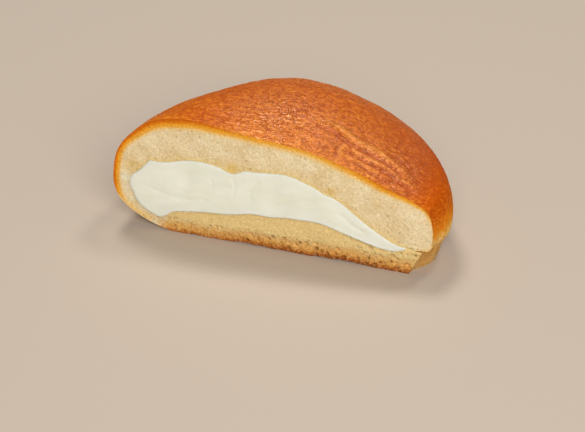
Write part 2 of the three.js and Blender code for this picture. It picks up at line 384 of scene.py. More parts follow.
def inside(outline, points):
    """Which points (x, z) lie inside a closed outline."""
    result = np.zeros(len(points), bool)
    for (x1, z1), (x2, z2) in zip(outline, np.roll(outline, -1, axis=0)):
        if z1 == z2:
            continue
        between = (points[:, 1] < z1) != (points[:, 1] < z2)
        result ^= between & (points[:, 0] < (x2 - x1) * (points[:, 1] - z1) / (z2 - z1) + x1)
    return result


def nearest(points, targets):
    """Each point's distance to the nearest target, and which one it is."""
    tree = KDTree(len(targets))
    for i, target in enumerate(targets):
        tree.insert(target, i)
    tree.balance()
    found = [tree.find(point) for point in points]
    return np.array([f[2] for f in found]), np.array([f[1] for f in found])


def flat(points):
    """(x, z) points as (x, 0, z)."""
    return np.stack([points[:, 0], np.zeros(len(points)), points[:, 1]], -1)


def even_curve(corners, step, closed=False):
    """Evenly spaced points on a centripetal curve through the corners."""
    corners = np.asarray(corners, float)
    if closed:
        corners = np.vstack([corners[-1:], corners, corners[:2]])
    else:
        ends = [2 * corners[0] - corners[1], 2 * corners[-1] - corners[-2]]
        corners = np.vstack([ends[0], corners, ends[1]])
    dense = []
    for p0, p1, p2, p3 in zip(corners, corners[1:], corners[2:], corners[3:]):
        k1 = np.linalg.norm(p1 - p0) ** 0.5
        k2 = k1 + np.linalg.norm(p2 - p1) ** 0.5
        k3 = k2 + np.linalg.norm(p3 - p2) ** 0.5
        t = np.linspace(k1, k2, 60, endpoint=False)[:, None]
        a1 = (k1 - t) / k1 * p0 + t / k1 * p1
        a2 = (k2 - t) / (k2 - k1) * p1 + (t - k1) / (k2 - k1) * p2
        a3 = (k3 - t) / (k3 - k2) * p2 + (t - k2) / (k3 - k2) * p3
        b1 = (k2 - t) / k2 * a1 + t / k2 * a2
        b2 = (k3 - t) / (k3 - k1) * a2 + (t - k1) / (k3 - k1) * a3
        dense.append((k2 - t) / (k2 - k1) * b1 + (t - k1) / (k2 - k1) * b2)
    dense = np.vstack(dense + [corners[-2:-1]])
    length = np.concatenate([[0], np.cumsum(np.linalg.norm(np.diff(dense, axis=0), axis=1))])
    count = max(3, round(length[-1] / step))
    even = np.linspace(0, length[-1], count + 1)
    points = np.stack([np.interp(even, length, dense[:, i]) for i in range(dense.shape[1])], -1)
    return points[:-1] if closed else points


def cream_outline(step):
    return even_curve([CREAM_TIP, *CREAM_TOP, CREAM_HINGE, *CREAM_UNDERSIDE], step, closed=True)


def grown(outline, amount):
    """The outline moved outwards by an amount."""
    along = np.roll(outline, -1, axis=0) - np.roll(outline, 1, axis=0)
    side = unit(np.stack([along[:, 1], -along[:, 0]], -1))
    turns = np.sum(outline[:, 0] * np.roll(outline[:, 1], -1) - outline[:, 1] * np.roll(outline[:, 0], -1))
    return outline + side * amount * np.sign(turns)


def cream_row(outline, turn):
    """The filling's outline as it goes back to a blunt end, where turn is a quarter turn."""
    y = CREAM_DEPTH * math.sin(turn)
    x = mix(CREAM_MIDDLE, outline[:, 0], math.cos(turn))
    height = (outline[:, 1] - seam_height(outline[:, 0], 0)) * max(0, math.cos(turn)) ** CREAM_FULLNESS
    return np.stack([x, np.full(len(x), y), seam_height(x, y) + height], -1)


def scattered(low, high, step, seed):
    """Points of an uneven honeycomb over a box, with some play."""
    draw = np.random.default_rng(seed)
    xs = np.arange(low[0], high[0], step)
    zs = np.arange(low[1], high[1], step * 0.866)
    grid = np.array([(x + (row % 2) * step / 2, z) for row, z in enumerate(zs) for x in xs])
    return grid + draw.uniform(-0.28, 0.28, grid.shape) * step


def fill(loops, hole, step, margin, seed):
    """Points and triangles that fill the first loop of (x, z) points, less a second one that is its hole."""
    outer = loops[0]
    spots = scattered(outer.min(0), outer.max(0), step, seed)
    spots = spots[inside(outer, spots)]
    if hole:
        spots = spots[~inside(loops[1], spots)]
    away, _ = nearest(flat(spots), flat(np.vstack(loops)))
    spots = spots[away > margin]
    points = np.vstack([*loops, spots])
    edges = []
    start = 0
    for loop in loops:
        count = len(loop)
        edges += [(start + i, start + (i + 1) % count) for i in range(count)]
        start += count
    result = delaunay_2d_cdt([Vector(p) for p in points], edges, [], 1, 1e-7, True)
    kept = [origins[0] for origins in result[3]]
    faces = np.array([[kept[i] for i in face] for face in result[2]])
    middles = points[faces].mean(1)
    wanted = inside(outer, middles)
    if hole:
        wanted &= ~inside(loops[1], middles)
    faces = faces[wanted]
    a, b, c = (points[faces[:, i]] for i in range(3))
    turned = np.cross(b - a, c - a) < 0
    faces[turned] = faces[turned][:, ::-1]
    return points, faces


def new_mesh(name, points, faces, attributes=None, flags=None):
    """A smooth mesh in the frame's axes, with float, vector and face attributes on it."""
    mesh = bpy.data.meshes.new(name)
    mesh.vertices.add(len(points))
    mesh.vertices.foreach_set("co", (points * MM + CUT_TO_FRAME).astype(np.float32).ravel())
    mesh.loops.add(len(faces) * 3)
    mesh.loops.foreach_set("vertex_index", np.asarray(faces, np.int32).ravel())
    mesh.polygons.add(len(faces))
    mesh.polygons.foreach_set("loop_start", np.arange(0, len(faces) * 3, 3, dtype=np.int32))
    mesh.update(calc_edges=True)
    mesh.shade_smooth()
    for key, values in (attributes or {}).items():
        values = np.asarray(values, np.float32)
        kind, field = ("FLOAT_VECTOR", "vector") if values.ndim > 1 else ("FLOAT", "value")
        mesh.attributes.new(key, kind, "POINT").data.foreach_set(field, values.ravel())
    for key, values in (flags or {}).items():
        mesh.attributes.new(key, "BOOLEAN", "FACE").data.foreach_set("value", np.asarray(values, bool))
    return mesh


def sharpen(mesh, groups):
    """Marks the edges between faces of different groups as sharp."""
    loops = np.zeros(len(mesh.loops), np.int32)
    mesh.loops.foreach_get("edge_index", loops)
    owner = np.repeat(np.asarray(groups, np.int32), 3)
    low = np.full(len(mesh.edges), 99, np.int32)
    high = np.full(len(mesh.edges), -1, np.int32)
    np.minimum.at(low, loops, owner)
    np.maximum.at(high, loops, owner)
    sharp = mesh.attributes.new("sharp_edge", "BOOLEAN", "EDGE")
    sharp.data.foreach_set("value", low != high)


# Nodes.


def add(tree, kind, inputs=None, stops=(), **settings):
    """Adds a node with its settings.

    inputs gives a value, a node or a socket for each input by name or place. stops are a colour ramp's places
    and colours.
    """
    node = tree.nodes.new(kind)
    for key, value in settings.items():
        setattr(node, key, value)
    for key, value in (inputs or {}).items():
        if isinstance(value, bpy.types.Node):
            value = next(socket for socket in value.outputs if socket.enabled)
        if isinstance(value, bpy.types.NodeSocket):
            tree.links.new(value, node.inputs[key])
        else:
            node.inputs[key].default_value = value
    for i, (place, colour) in enumerate(stops):
        elements = node.color_ramp.elements
        element = elements[i] if i < len(elements) else elements.new(place)
        element.position = place
        element.color = colour
    return node


def shape_tree(name, inputs):
    """An empty Geometry Nodes tree with a geometry input and output and named numbers, and its inputs."""
    tree = bpy.data.node_groups.new(name, "GeometryNodeTree")
    tree.interface.new_socket("Geometry", in_out="OUTPUT", socket_type="NodeSocketGeometry")
    tree.interface.new_socket("Geometry", in_out="INPUT", socket_type="NodeSocketGeometry")
    for label, value in inputs.items():
        kind = "NodeSocketInt" if isinstance(value, int) else "NodeSocketFloat"
        tree.interface.new_socket(label, in_out="INPUT", socket_type=kind).default_value = value
    return tree, {socket.name: socket for socket in add(tree, "NodeGroupInput").outputs}


def shaped(mesh, tree, values):
    """The plain mesh that the tree makes of a mesh, with the tree's inputs set by their identifiers."""
    carrier = bpy.data.objects.new("carrier", mesh)
    bpy.context.scene.collection.objects.link(carrier)
    modifier = carrier.modifiers.new("shape", "NODES")
    modifier.node_group = tree
    for item in tree.interface.items_tree:
        if item.in_out == "INPUT" and item.name in values:
            modifier[item.identifier] = values[item.name]
    evaluated = carrier.evaluated_get(bpy.context.evaluated_depsgraph_get())
    result = bpy.data.meshes.new_from_object(evaluated)
    carrier.modifiers.remove(modifier)
    bpy.data.objects.remove(carrier)
    return result


def relief_tree(sizes, crust, crumb):
    """Raises wrinkles and blisters on the crust and sinks pores and pits into the crumb, along "push"."""
    tree, sockets = shape_tree("Bread relief", sizes)
    own = {
        key: add(tree, "GeometryNodeInputNamedAttribute", {"Name": key}, data_type=kind)
        for key, kind in {
            "push": "FLOAT_VECTOR", "grain": "FLOAT_VECTOR", "crust": "FLOAT", "form": "FLOAT",
            "pored": "FLOAT", "coarse": "FLOAT", "is_crumb": "BOOLEAN",
        }.items()
    }
    per_metre = {
        key: add(tree, "ShaderNodeMath", {0: 1.0, 1: sockets[key]}, operation="DIVIDE")
        for key in ("Wrinkle length", "Peel length", "Blister spacing", "Pore spacing", "Pit spacing")
    }
    position = add(tree, "GeometryNodeInputPosition")
    place = add(tree, "ShaderNodeVectorMath", {0: position, 1: sockets["Seed"]}, operation="ADD")

    # Wrinkles: ridged noise along the grain, sharp valleys between rounded backs.
    wrinkle = add(
        tree, "ShaderNodeTexNoise",
        {"Vector": own["grain"], "Scale": per_metre["Wrinkle length"], "Detail": 3.0, "Roughness": 0.6,
         "Distortion": 0.9},
    )
    valley = add(tree, "ShaderNodeMath", {0: wrinkle, 1: 0.5}, operation="SUBTRACT")
    valley = add(tree, "ShaderNodeMath", {0: valley}, operation="ABSOLUTE")
    ridge = add(
        tree, "ShaderNodeMapRange", {"Value": valley, "From Max": 0.16, "To Min": -0.7, "To Max": 0.3},
    )
    # Between them the skin is dimpled like an orange's, and has a few small blisters.
    peel = add(
        tree, "ShaderNodeTexVoronoi", {"Vector": place, "Scale": per_metre["Peel length"], "Smoothness": 0.6},
        feature="SMOOTH_F1",
    )
    blister = add(tree, "ShaderNodeTexVoronoi", {"Vector": place, "Scale": per_metre["Blister spacing"]})
    blister = add(
        tree, "ShaderNodeMapRange", {"Value": blister, "From Min": 0.19, "From Max": 0.05},
        interpolation_type="SMOOTHSTEP",
    )

    # Pores and pits: some cells of an uneven net have a hollow, as wide as the cell's own random number says.
    unrest = add(tree, "ShaderNodeTexNoise", {"Vector": place, "Scale": 1100.0, "Detail": 2.0})
    pull = add(tree, "ShaderNodeVectorMath", {0: unrest.outputs["Color"], "Scale": 0.0007}, operation="SCALE")
    torn_place = add(tree, "ShaderNodeVectorMath", {0: place, 1: pull}, operation="ADD")
    hollows = {}
    for spacing, smallest, largest in (("Pore spacing", 0.1, 0.4), ("Pit spacing", 0.22, 0.6)):
        cells = add(tree, "ShaderNodeTexVoronoi", {"Vector": torn_place, "Scale": per_metre[spacing]})
        luck = add(tree, "FunctionNodeSeparateColor", {"Color": cells.outputs["Color"]})
        wide = add(
            tree, "ShaderNodeMapRange",
            {"Value": luck.outputs["Red"], "From Min": 0.25, "To Min": smallest, "To Max": largest},
        )
        floor = add(tree, "ShaderNodeMath", {0: wide, 1: 0.25}, operation="MULTIPLY")
        hollows[spacing] = add(
            tree, "ShaderNodeMapRange", {"Value": cells, "From Min": wide, "From Max": floor},
            interpolation_type="SMOOTHSTEP",
        )
    torn = add(
        tree, "ShaderNodeTexNoise", {"Vector": place, "Scale": 900.0, "Detail": 3.0, "Roughness": 0.65},
    )
    tear = add(tree, "ShaderNodeMath", {0: torn, 1: 0.62}, operation="SUBTRACT")

    # All of it together, each pattern in its own zone and up or down by its own input.
    height = own["form"]
    shown = {}
    for size, pattern, zone, way in (
        ("Wrinkle height", ridge, "crust", "ADD"),
        ("Blister height", blister, "crust", "ADD"),
        ("Peel height", peel, "crust", "SUBTRACT"),
        ("Pore depth", hollows["Pore spacing"], "pored", "SUBTRACT"),
        ("Pit depth", hollows["Pit spacing"], "coarse", "SUBTRACT"),
        ("Tear height", tear, "pored", "ADD"),
    ):
        shown[size] = add(tree, "ShaderNodeMath", {0: pattern, 1: own[zone]}, operation="MULTIPLY")
        part = add(tree, "ShaderNodeMath", {0: shown[size], 1: sockets[size]}, operation="MULTIPLY")
        height = add(tree, "ShaderNodeMath", {0: height, 1: part}, operation=way)
    offset = add(tree, "ShaderNodeVectorMath", {0: own["push"], "Scale": height}, operation="SCALE")
    bread = add(tree, "GeometryNodeSetPosition", {"Geometry": sockets["Geometry"], "Offset": offset})
    # The materials paint shade into the hollows and into the valleys between wrinkles.
    kept = {
        "hollow": add(
            tree, "ShaderNodeMath", {0: shown["Pore depth"], 1: shown["Pit depth"]}, operation="MAXIMUM",
        ),
        "valley": add(tree, "ShaderNodeMath", {0: 0.3, 1: ridge}, operation="SUBTRACT"),
    }
    for key, value in kept.items():
        bread = add(
            tree, "GeometryNodeStoreNamedAttribute", {"Geometry": bread, "Name": key, "Value": value},
            data_type="FLOAT", domain="POINT",
        )
    bread = add(tree, "GeometryNodeRealizeInstances", {"Geometry": bread})
    bread = add(tree, "GeometryNodeSetMaterial", {"Geometry": bread, "Material": crust})
    bread = add(
        tree, "GeometryNodeSetMaterial", {"Geometry": bread, "Selection": own["is_crumb"], "Material": crumb},
    )
    add(tree, "NodeGroupOutput", {"Geometry": bread})
    return tree


def fleck_tree(sizes, material):
    """Scatters small torn flecks over the faces where "flecks" is set, and keeps only the flecks."""
    tree, sockets = shape_tree("Flecks", sizes)
    where = add(tree, "GeometryNodeInputNamedAttribute", {"Name": "flecks"}, data_type="FLOAT")
    spots = add(
        tree, "GeometryNodeDistributePointsOnFaces",
        {"Mesh": sockets["Geometry"], "Distance Min": sockets["Spacing"], "Density Max": sockets["Density"],
         "Density Factor": where, "Seed": sockets["Seed"]},
        distribute_method="POISSON",
    )
    ball = add(tree, "GeometryNodeMeshIcoSphere", {"Radius": sockets["Fleck size"], "Subdivisions": 1})
    scale, turn = (
        add(
            tree, "FunctionNodeRandomValue", {0: low, 1: high, "Seed": sockets["Seed"]},
            data_type="FLOAT_VECTOR",
        )
        for low, high in (((0.5, 0.35, 0.25), (1.5, 0.9, 0.6)), ((-0.5, -0.5, -3.14), (0.5, 0.5, 3.14)))
    )
    turn = add(tree, "FunctionNodeEulerToRotation", {0: turn})
    turned = add(
        tree, "FunctionNodeRotateRotation", {"Rotation": spots.outputs["Rotation"], "Rotate By": turn},
        rotation_space="LOCAL",
    )
    flecks = add(
        tree, "GeometryNodeInstanceOnPoints",
        {"Points": spots, "Instance": ball, "Rotation": turned, "Scale": scale},
    )
    whole = add(tree, "GeometryNodeRealizeInstances", {"Geometry": flecks})
    # Each fleck is knocked out of round.
    place = add(tree, "GeometryNodeInputPosition")
    rough = add(tree, "ShaderNodeTexNoise", {"Vector": place, "Scale": 3000.0})
    centred = add(
        tree, "ShaderNodeVectorMath", {0: rough.outputs["Color"], 1: (0.5, 0.5, 0.5)}, operation="SUBTRACT",
    )
    knocked = add(
        tree, "ShaderNodeVectorMath", {0: centred, "Scale": sockets["Fleck size"]}, operation="SCALE",
    )
    uneven = add(tree, "GeometryNodeSetPosition", {"Geometry": whole, "Offset": knocked})
    dressed = add(tree, "GeometryNodeSetMaterial", {"Geometry": uneven, "Material": material})
    add(tree, "NodeGroupOutput", {"Geometry": dressed})
    return tree


# Materials.


def new_material(name, **constants):
    """A material with one Principled shader, with its constant values, and the place on the object."""
    material = bpy.data.materials.new(name)
    material.use_nodes = True
    tree = material.node_tree
    shader = tree.nodes["Principled BSDF"]
    for label, value in constants.items():
        shader.inputs[label.replace("_", " ")].default_value = value
    return material, tree, shader, add(tree, "ShaderNodeTexCoord").outputs["Object"]


def mesh_values(tree, *keys):
    """The piece's own attributes, by name."""
    return {
        key: add(tree, "ShaderNodeAttribute", attribute_name=key, attribute_type="GEOMETRY").outputs["Fac"]
        for key in keys
    }


def egg_washed_crust(settings):
    """Browned bread crust brushed with egg: a slightly sticky gloss over red-brown, paler down the wall."""
    material, tree, shader, place = new_material(
        "egg_washed_crust", IOR=1.5, Specular_Tint=(1.0, 0.76, 0.52, 1.0),
    )
    own = mesh_values(tree, "bake", "valley", "wash_and_sheen", "steamed_and_pleat_shade")
    # Patches about 14 mm wide where the oven browned it more, and mottling about 2.5 mm wide.
    patches = add(tree, "ShaderNodeTexNoise", {"Vector": place, "Scale": 70.0, "Detail": 2.0})
    mottle = add(
        tree, "ShaderNodeTexNoise", {"Vector": place, "Scale": 420.0, "Detail": 4.0, "Roughness": 0.65},
    )
    # The skin's own grain: a web of fine wrinkles about a millimetre apart and longer along the cut. off_back
    # is 0 on their backs, and back is a half there and less beside them.
    drawn = add(
        tree, "ShaderNodeMapping",
        {"Vector": place, "Rotation": (0.0, 0.0, -0.12), "Scale": (0.42, 1.0, 1.0)},
    )
    grain = add(
        tree, "ShaderNodeTexNoise",
        {"Vector": drawn, "Scale": 1000.0, "Detail": 3.0, "Roughness": 0.6, "Distortion": 0.8},
    )
    off_back = add(tree, "ShaderNodeMath", {0: grain, 1: 0.5}, operation="SUBTRACT")
    off_back = add(tree, "ShaderNodeMath", {0: off_back}, operation="ABSOLUTE")
    back = add(
        tree, "ShaderNodeMapRange", {"Value": off_back, "From Max": 0.085, "To Min": 0.5, "To Max": -0.5},
    )
    # Tone is a little lower on the wrinkles' backs, so they come out lighter: part of the painted glints.
    tone = add(tree, "ShaderNodeMath", {0: back, 1: -0.12, 2: own["bake"]}, operation="MULTIPLY_ADD")
    # Patches and mottling vary the tone at random. The valleys between the wrinkles are darkened as painted
    # shade.
    for noise, amount in ((patches, 0.2), (mottle, 0.42), (own["valley"], 0.3)):
        centred = add(tree, "ShaderNodeMath", {0: noise, 1: 0.5}, operation="SUBTRACT")
        tone = add(tree, "ShaderNodeMath", {0: centred, 1: amount, 2: tone}, operation="MULTIPLY_ADD")
    baked = add(
        tree, "ShaderNodeValToRGB", {"Fac": tone},
        stops=[
            (0.0, settings.pale), (0.22, settings.straw), (0.42, settings.golden), (0.62, settings.amber),
            (0.82, settings.brown), (1.0, settings.dark),
        ],
    )
    pale_wall = add(
        tree, "ShaderNodeMix", {"Factor": own["steamed_and_pleat_shade"], 6: baked, 7: settings.low_wall}, data_type="RGBA",
    )
    # The backs of the wrinkles are painted brighter than the hollows between them, a painted glint and shade,
    # most where the egg is thick.
    contrast, even = (
        add(tree, "ShaderNodeMapRange", {"Value": own["wash_and_sheen"], "To Min": bare, "To Max": washed})
        for bare, washed in ((0.14, 0.42), (1.04, 0.93))
    )
    painted_crest_light = add(tree, "ShaderNodeMath", {0: back, 1: contrast, 2: even}, operation="MULTIPLY_ADD")
    painted_crest_light = add(tree, "ShaderNodeVectorMath", {0: pale_wall.outputs[2], "Scale": painted_crest_light}, operation="SCALE")
    # There the colour turns pale: partly dried egg, partly painted glints.
    dried_and_glint = add(tree, "ShaderNodeMapRange", {"Value": back, "From Min": 0.1, "From Max": 0.5, "To Max": 0.42})
    dried_and_glint = add(tree, "ShaderNodeMath", {0: dried_and_glint, 1: own["wash_and_sheen"]}, operation="MULTIPLY")
    glazed = add(tree, "ShaderNodeMix", {"Factor": dried_and_glint, 6: painted_crest_light, 7: settings.dried_egg_and_glint}, data_type="RGBA")
    tree.links.new(glazed.outputs[2], shader.inputs["Base Color"])
    # It lies thick and glossy on top and thin and dull on the wall, and it pools unevenly.
    coat = add(
        tree, "ShaderNodeMapRange",
        {"Value": mottle, "From Min": 0.3, "From Max": 0.7, "To Min": 0.15, "To Max": 0.3},
    )
    dull, shine = (
        add(tree, "ShaderNodeMapRange", {"Value": own["wash_and_sheen"], "To Min": bare, "To Max": washed})
        for bare, washed in ((0.3, 0.0), (0.02, 0.6))
    )
    rough = add(tree, "ShaderNodeMath", {0: coat, 1: dull}, operation="ADD")
    tree.links.new(rough.outputs[0], shader.inputs["Roughness"])
    tree.links.new(shine.outputs[0], shader.inputs["Specular IOR Level"])
    bump = add(tree, "ShaderNodeBump", {"Height": off_back, "Distance": 0.7 * MM}, invert=True)
    tree.links.new(bump.outputs[0], shader.inputs["Normal"])
    return material


def soft_wheat_crumb(settings):
    """Cut white crumb: matt and pale, yellow where wetted, golden towards the crust, toasted below."""
    material, tree, shader, place = new_material(
        "soft_wheat_crumb", IOR=1.4, Roughness=0.75, Specular_IOR_Level=0.25, Subsurface_Weight=0.15,
        Subsurface_Scale=1.5 * MM, Subsurface_Radius=(1.0, 0.6, 0.3),
    )
    own = mesh_values(tree, "rind", "moist", "film", "lower", "hollow", "rise")
    # Clouds about 6 mm wide, and specks of about 1 mm. Distances wander with the specks by up to half a
    # millimetre, so no zone has a ruled edge.
    cloud = add(
        tree, "ShaderNodeTexNoise", {"Vector": place, "Scale": 160.0, "Detail": 3.0, "Roughness": 0.6},
    )
    speck = add(
        tree, "ShaderNodeTexNoise", {"Vector": place, "Scale": 1100.0, "Detail": 4.0, "Roughness": 0.7},
    )
    wander = add(tree, "ShaderNodeMath", {0: speck, 1: 0.5}, operation="SUBTRACT")
    rise, film, rind = (
        add(
            tree, "ShaderNodeMath", {0: wander, 1: amount, 2: own[key]},
            operation="MULTIPLY_ADD", use_clamp=clamp,
        )
        for key, amount, clamp in (("rise", 0.34, False), ("film", 1.2, True), ("rind", 0.3, False))
    )
    upper = add(
        tree, "ShaderNodeValToRGB", {"Fac": cloud},
        stops=[(0.3, settings.crumb_shade), (0.7, settings.crumb)],
    )
    # Under the cream: rise is 0 at the base's edge and 1 where the pale crumb starts.
    lower = add(
        tree, "ShaderNodeValToRGB", {"Fac": rise},
        stops=[
            (0.0, settings.base_edge), (0.12, settings.toasted), (0.24, settings.toasted_pale),
            (0.4, settings.lower_gold), (0.62, settings.lower_shade), (0.85, settings.lower),
        ],
    )
    # Crumb that the cream has wetted is more yellow.
    wet = add(tree, "ShaderNodeMath", {0: cloud, 1: own["moist"]}, operation="MULTIPLY")
    wet = add(tree, "ShaderNodeMath", {0: wet, 1: 1.9}, operation="MULTIPLY", use_clamp=True)
    # The crust's edge: rind is 0 at the skin and 1 where the golden band ends.
    band = add(
        tree, "ShaderNodeValToRGB", {"Fac": rind},
        stops=[
            (0.0, settings.rind_outer), (0.2, settings.rind_orange), (0.4, settings.rind_middle),
            (0.62, settings.rind_gold), (0.82, settings.rind_inner),
        ],
    )
    in_band = add(tree, "ShaderNodeMapRange", {"Value": rind, "From Min": 1.05, "From Max": 0.78})
    # Pores and pits are darkened inside: painted shade.
    inside_hollow = add(tree, "ShaderNodeMapRange", {"Value": own["hollow"], "To Max": 0.8})
    shade = add(
        tree, "ShaderNodeMix", {"Factor": own["lower"], 6: settings.hollow, 7: settings.pit_shade},
        data_type="RGBA",
    )
    colour = upper.outputs["Color"]
    for share, over in (
        (own["lower"], lower), (wet, settings.moist), (film, settings.film), (in_band, band),
        (inside_hollow, shade.outputs[2]),
    ):
        mixed = add(tree, "ShaderNodeMix", {"Factor": share, 6: colour, 7: over}, data_type="RGBA")
        colour = mixed.outputs[2]
    fine = add(
        tree, "ShaderNodeMapRange",
        {"Value": speck, "From Min": 0.35, "From Max": 0.68, "To Min": 0.82, "To Max": 1.08},
    )
    colour = add(tree, "ShaderNodeVectorMath", {0: colour, "Scale": fine}, operation="SCALE")
    tree.links.new(colour.outputs[0], shader.inputs["Base Color"])
    # Cell walls about 0.4 mm apart, too fine for the mesh.
    walls = add(tree, "ShaderNodeTexVoronoi", {"Vector": place, "Scale": 2600.0})
    rough = add(tree, "ShaderNodeMath", {0: walls, 1: speck}, operation="ADD")
    bump = add(tree, "ShaderNodeBump", {"Height": rough, "Distance": 0.18 * MM, "Strength": 0.8})
    tree.links.new(bump.outputs[0], shader.inputs["Normal"])
    return material


def whipped_cream(settings):
    """Whipped cream: off-white and satin, light goes a little way into it, which softens its edges."""
    material, tree, shader, place = new_material(
        "whipped_cream", IOR=1.42, Specular_IOR_Level=0.4, Subsurface_Weight=0.5, Subsurface_Scale=3 * MM,
        Subsurface_Radius=(1.0, 0.9, 0.75),
    )
    # Clouds about 8 mm wide, and the knife's drag marks about a millimetre apart.
    cloud = add(tree, "ShaderNodeTexNoise", {"Vector": place, "Scale": 130.0, "Detail": 2.0})
    colour = add(
        tree, "ShaderNodeValToRGB", {"Fac": cloud}, stops=[(0.3, settings.shade), (0.7, settings.tint)],
    )
    tree.links.new(colour.outputs["Color"], shader.inputs["Base Color"])
    streaks = add(tree, "ShaderNodeMapping", {"Vector": place, "Scale": (0.35, 1.0, 1.0)})
    drag = add(tree, "ShaderNodeTexNoise", {"Vector": streaks, "Scale": 900.0, "Detail": 3.0})
    gloss = add(
        tree, "ShaderNodeMapRange",
        {"Value": drag, "From Min": 0.3, "From Max": 0.7, "To Min": 0.42, "To Max": 0.58},
    )
    tree.links.new(gloss.outputs[0], shader.inputs["Roughness"])
    bump = add(tree, "ShaderNodeBump", {"Height": drag, "Distance": 0.1 * MM, "Strength": 0.5})
    tree.links.new(bump.outputs[0], shader.inputs["Normal"])
    return material


def matt_card(settings):
    """Matt card under the bun: a plain pale ground with a very faint tooth, about 2 mm wide."""
    material, tree, shader, place = new_material(
        "matt_card", Roughness=0.8, Specular_IOR_Level=0.25, Base_Color=settings.floor,
    )
    tooth = add(tree, "ShaderNodeTexNoise", {"Vector": place, "Scale": 500.0, "Detail": 2.0})
    bump = add(tree, "ShaderNodeBump", {"Height": tooth, "Distance": 0.05 * MM, "Strength": 0.2})
    tree.links.new(bump.outputs[0], shader.inputs["Normal"])
    return material


# Pieces.


def turned_to(points, faces, way):
    """The faces, turned over if most of their area looks against the way given for all or each of them."""
    a, b, c = (points[faces[:, i]] for i in range(3))
    against = (np.cross(b - a, c - a) * way).sum() < 0
    return faces[:, ::-1] if against else faces


def from_slit(points):
    """The way from the slit's height at each point: up over it, and down under it."""
    return (0, 0, 1) * np.sign(points[:, 2] - seam_height(points[:, 0], points[:, 1]))[:, None]


def filling_back(outline, first_of_outline, first_of_rows, end_depth):
    """Points and faces from the filling's outline back to its blunt end.

    first_of_outline is the number of the outline's own first point, and first_of_rows that of the first new
    one.
    """
    rows = [cream_row(outline, math.pi / 2 * i / CAVITY_ROWS) for i in range(1, CAVITY_ROWS)]
    end = np.array([[CREAM_MIDDLE, end_depth, seam_height(CREAM_MIDDLE, CREAM_DEPTH)]])
    count = len(outline)
    around = np.arange(count)
    onwards = (around + 1) % count
    ring = first_of_outline + around
    faces = []
    for i in range(len(rows)):
        deeper = first_of_rows + i * count + around
        faces += [np.c_[ring, deeper, ring[onwards]], np.c_[ring[onwards], deeper, deeper[onwards]]]
        ring = deeper
    last = first_of_rows + len(rows) * count
    faces.append(np.c_[ring, np.full(count, last), ring[onwards]])
    return np.vstack([*rows, end]), np.vstack(faces)


def fold_heights(points):
    """The height that the crust's folds add: a raised back with a groove on the side of the cut."""
    total = np.zeros(len(points))
    for corners, height, width in FOLDS:
        line = even_curve(corners, 0.3)
        away, which = nearest(np.c_[points[:, :2], np.zeros(len(points))], np.c_[line, np.zeros(len(line))])
        fade = np.sin(math.pi * np.clip((which + 1) / (len(line) + 1), 0.02, 0.98)) ** 0.5
        along = np.gradient(line, axis=0)[which]
        side = np.cross(along, points[:, :2] - line[which])
        across = np.where(side > 0, away, -away) / width
        back = np.exp(-((across - FOLD_BACK) ** 2))
        groove = np.exp(-(((across - FOLD_GROOVE) / FOLD_GROOVE_WIDTH) ** 2))
        total += height * fade * (back - groove)
    return total


def stained(spots, x, z):
    """How strongly a list of soft spots colours each place of the cut. They are a little wider than high."""
    total = np.zeros(len(x))
    for spot_x, spot_z, size, strength in spots:
        away = np.hypot(x - spot_x, (z - spot_z) * 1.3) / size
        total = np.maximum(total, strength * np.exp(-(away**2)))
    return total


